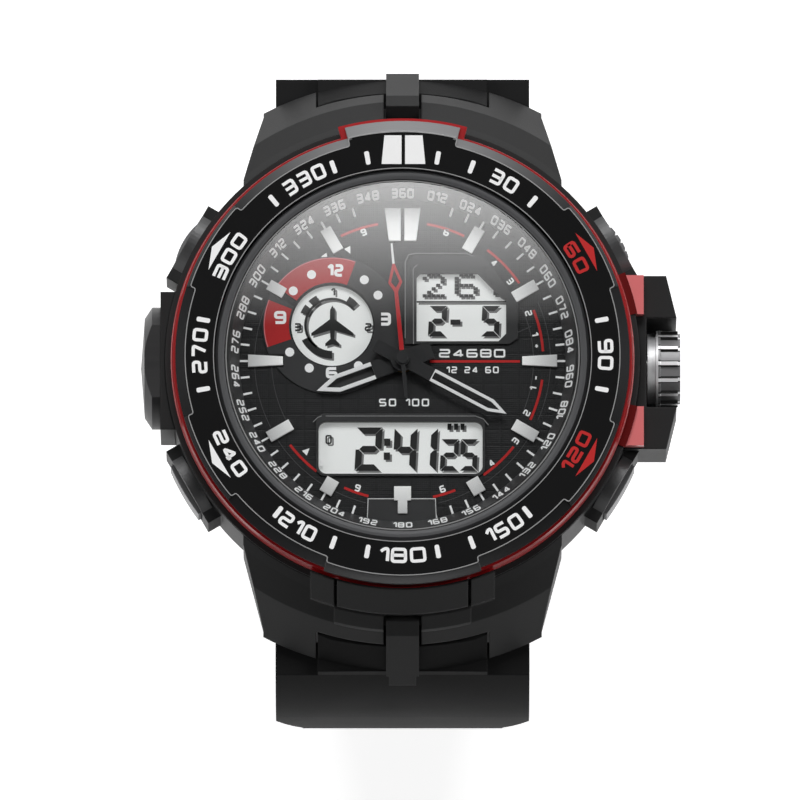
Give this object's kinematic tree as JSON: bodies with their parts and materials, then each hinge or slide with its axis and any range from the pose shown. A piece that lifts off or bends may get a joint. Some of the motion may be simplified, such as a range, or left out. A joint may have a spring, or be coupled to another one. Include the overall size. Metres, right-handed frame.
{
  "type": "sports watch",
  "caption": "Sports wrist watch with analogue hands, digital windows, a compass bezel, push buttons, a crown and a buckled resin strap.",
  "frame": {"origin": "centre of the case back's outer face", "axes": "+X to 3 o'clock, +Y to 12 o'clock, +Z out of the dial"},
  "size_m": [0.0573, 0.0672, 0.111],
  "materials": {
    "resin_black": "moulded satin black resin",
    "steel": "brushed stainless steel",
    "seal_rubber": "black seal rubber",
    "trim_red": "satin red paint on metal",
    "gunmetal": "dark grey plated metal with a brushed bevel",
    "plate_black": "matte black paint with white printed marks",
    "glass": "clear mineral glass",
    "dial_grey": "dark grey satin plastic",
    "dial_black": "black dial with an embossed texture",
    "silver": "satin silver applied markers",
    "lcd_grey": "pale grey liquid crystal panel",
    "backlight": "pale green backlight sheet",
    "module_resin": "dark grey moulded plastic",
    "board_green": "green circuit board",
    "copper": "enamelled copper winding",
    "brass": "polished brass",
    "cap_black": "black anodised cap with fine turning marks",
    "strap_resin": "matte black flexible resin",
    "buckle_black": "black plated buckle",
    "crown_steel": "polished steel crown",
    "pusher_grey": "dark plated metal push button",
    "hand_white": "white painted hand with a dark root",
    "hand_red": "red painted second hand with a white tip"
  },
  "bodies": {
    "case": {"case_body": "resin_black", "case_back": "steel", "back_screws": "steel", "back_gasket": "seal_rubber", "bezel_trim": "trim_red", "bezel_rim": "gunmetal", "bezel_plate": "plate_black", "glass_ring": "gunmetal", "crystal": "glass", "crystal_gasket": "seal_rubber", "chapter_ring": "dial_grey", "dial": "dial_black", "dial_markers": "silver", "display_frames": "dial_grey", "subdial_ring": "dial_grey", "lcd_panel": "lcd_grey", "lcd_backlight": "backlight", "module_frame": "module_resin", "circuit_board": "board_green", "coin_cell": "steel", "cell_clip": "steel", "motor_coils": "copper", "buzzer": "brass", "spring_bars": "steel", "clip_12": "resin_black", "clip_6": "resin_black", "side_cap_base": "resin_black", "side_cap": "cap_black", "crown_guard": "resin_black", "guard_trims": "trim_red", "crown_tube": "steel", "pusher_tubes": "steel", "contact_springs": "brass", "spring_60": "steel", "spring_120": "steel", "spring_240": "steel", "spring_300": "steel"},
    "strap_upper": {"strap_upper": "strap_resin", "buckle_pin": "steel"},
    "buckle": {"buckle_frame": "buckle_black"},
    "tongue": {"buckle_tongue": "steel"},
    "keeper": {"strap_keeper": "strap_resin"},
    "strap_lower": {"strap_lower": "strap_resin"},
    "stem_yoke": {"stem_yoke": "steel"},
    "crown": {"crown": "crown_steel", "crown_stem": "steel", "crown_seal": "seal_rubber"},
    "pusher_60": {"pusher_60": "pusher_grey"},
    "pusher_120": {"pusher_120": "pusher_grey"},
    "pusher_240": {"pusher_240": "pusher_grey"},
    "pusher_300": {"pusher_300": "pusher_grey"},
    "minute": {"minute_hand": "hand_white", "cannon_pinion": "brass"},
    "hour": {"hour_hand": "hand_white", "hour_wheel": "brass"},
    "second": {"second_hand": "hand_red", "second_arbor": "brass"},
    "minute_wheel": {"minute_wheel": "brass"}
  },
  "joints": [
    {"name": "strap_upper_hinge", "type": "hinge", "parent": "case", "child": "strap_upper", "pos_m": [0, 0.026, 0.0046], "axis": [1, 0, 0], "range_deg": [-10, 0]},
    {"name": "strap_lower_hinge", "type": "hinge", "parent": "case", "child": "strap_lower", "pos_m": [0, -0.026, 0.0046], "axis": [1, 0, 0], "range_deg": [0, 10]},
    {"name": "keeper_slide", "type": "hinge", "parent": "strap_upper", "child": "keeper", "pos_m": [0, -0.0629, -0.001], "axis": [1, 0, 0], "range_deg": [-4, 4]},
    {"name": "buckle_hinge", "type": "hinge", "parent": "strap_upper", "child": "buckle", "pos_m": [0, 0.0105, -0.05876], "axis": [1, 0, 0], "range_deg": [-40, 40]},
    {"name": "tongue_hinge", "type": "hinge", "parent": "buckle", "child": "tongue", "pos_m": [0, 0.0105, -0.05876], "axis": [1, 0, 0], "range_deg": [0, 95]},
    {"name": "crown_pull", "type": "slide", "parent": "case", "child": "stem_yoke", "axis": [1, 0, 0], "range_m": [0, 0.0012]},
    {"name": "crown_turn", "type": "hinge", "parent": "stem_yoke", "child": "crown", "pos_m": [0.027, 0, 0.0061], "axis": [1, 0, 0], "continuous": true},
    {"name": "push_60", "type": "slide", "parent": "case", "child": "pusher_60", "axis": [-0.866, -0.5, 0], "range_m": [0, 0.0009], "stiffness_N_per_m": 400, "springref_m": -0.0005, "deforming": ["spring_60"]},
    {"name": "push_120", "type": "slide", "parent": "case", "child": "pusher_120", "axis": [-0.866, 0.5, 0], "range_m": [0, 0.0009], "stiffness_N_per_m": 400, "springref_m": -0.0005, "deforming": ["spring_120"]},
    {"name": "push_240", "type": "slide", "parent": "case", "child": "pusher_240", "axis": [0.866, 0.5, 0], "range_m": [0, 0.0009], "stiffness_N_per_m": 400, "springref_m": -0.0005, "deforming": ["spring_240"]},
    {"name": "push_300", "type": "slide", "parent": "case", "child": "pusher_300", "axis": [0.866, -0.5, 0], "range_m": [0, 0.0009], "stiffness_N_per_m": 400, "springref_m": -0.0005, "deforming": ["spring_300"]},
    {"name": "minute_turn", "type": "hinge", "parent": "case", "child": "minute", "pos_m": [0, 0, 0.012], "axis": [0, 0, -1], "continuous": true},
    {"name": "hour_turn", "type": "hinge", "parent": "case", "child": "hour", "pos_m": [0, 0, 0.012], "axis": [0, 0, -1], "continuous": true},
    {"name": "second_turn", "type": "hinge", "parent": "case", "child": "second", "pos_m": [0, 0, 0.012], "axis": [0, 0, -1], "continuous": true},
    {"name": "minute_wheel_turn", "type": "hinge", "parent": "case", "child": "minute_wheel", "pos_m": [0.004, 0, 0.007], "axis": [0, 0, -1], "continuous": true}
  ],
  "couplings": [
    {"joint": "hour_turn", "follows": "minute_turn", "ratio": 0.083333},
    {"joint": "minute_wheel_turn", "follows": "minute_turn", "ratio": -0.33333},
    {"joint": "second_turn", "follows": "minute_turn", "ratio": 60}
  ]
}
